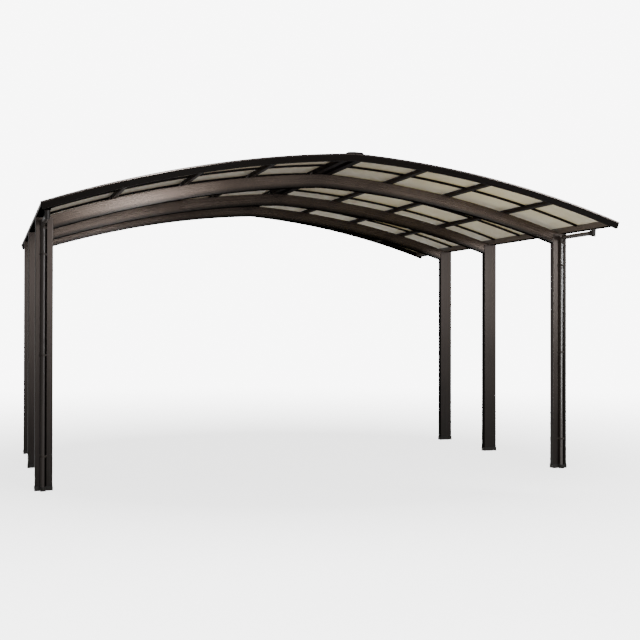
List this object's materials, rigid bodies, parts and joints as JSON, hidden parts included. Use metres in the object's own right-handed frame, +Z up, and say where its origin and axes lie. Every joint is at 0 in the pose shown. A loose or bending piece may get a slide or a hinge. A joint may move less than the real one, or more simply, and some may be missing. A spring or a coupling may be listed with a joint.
{
  "type": "double carport",
  "caption": "Open double carport: posts carry curved beams that meet at a ridge, purlins, glazing bars and smoky clear roof sheets.",
  "frame": {"origin": "on the ground, at the centre of the roof's footprint", "axes": "+X across the parking bays to the right as seen from the front, +Y from the front edge to the rear, +Z up"},
  "size_m": [5.55, 4.95, 3.1114],
  "materials": {
    "frame_bronze": "satin dark bronze anodised and lacquered aluminium extrusion",
    "purlin_bronze": "satin dark bronze extrusion",
    "edge_dark": "blackish bronze edge trim",
    "roof_sheet": "smoke grey-brown polycarbonate sheet, translucent",
    "drain_plastic": "dark brown glossy pipe",
    "shoe_dark": "matt black-brown foot collar",
    "splice_metal": "mill finish, hidden"
  },
  "bodies": {
    "root": {"drain_outlets": "drain_plastic", "front_ridge_splice": "splice_metal", "gutter_end_caps": "edge_dark", "left_battens": "edge_dark", "left_downpipe": "drain_plastic", "left_drain_pipe": "drain_plastic", "left_eave_gutter": "purlin_bronze", "left_front_beam": "frame_bronze", "left_front_fascia": "edge_dark", "left_front_post": "frame_bronze", "left_lower_purlin": "purlin_bronze", "left_middle_beam": "frame_bronze", "left_middle_post": "frame_bronze", "left_middle_purlin": "purlin_bronze", "left_panels": "roof_sheet", "left_rear_beam": "frame_bronze", "left_rear_fascia": "edge_dark", "left_rear_post": "frame_bronze", "left_ridge_purlin": "purlin_bronze", "left_upper_purlin": "purlin_bronze", "middle_ridge_splice": "splice_metal", "post_shoes": "shoe_dark", "purlin_brackets": "edge_dark", "rear_ridge_splice": "splice_metal", "ridge_cover": "edge_dark", "ridge_end_caps": "edge_dark", "right_battens": "edge_dark", "right_downpipe": "drain_plastic", "right_drain_pipe": "drain_plastic", "right_eave_gutter": "purlin_bronze", "right_front_beam": "frame_bronze", "right_front_fascia": "edge_dark", "right_front_post": "frame_bronze", "right_lower_purlin": "purlin_bronze", "right_middle_beam": "frame_bronze", "right_middle_post": "frame_bronze", "right_middle_purlin": "purlin_bronze", "right_panels": "roof_sheet", "right_rear_beam": "frame_bronze", "right_rear_fascia": "edge_dark", "right_rear_post": "frame_bronze", "right_ridge_purlin": "purlin_bronze", "right_upper_purlin": "purlin_bronze"}
  },
  "joints": []
}
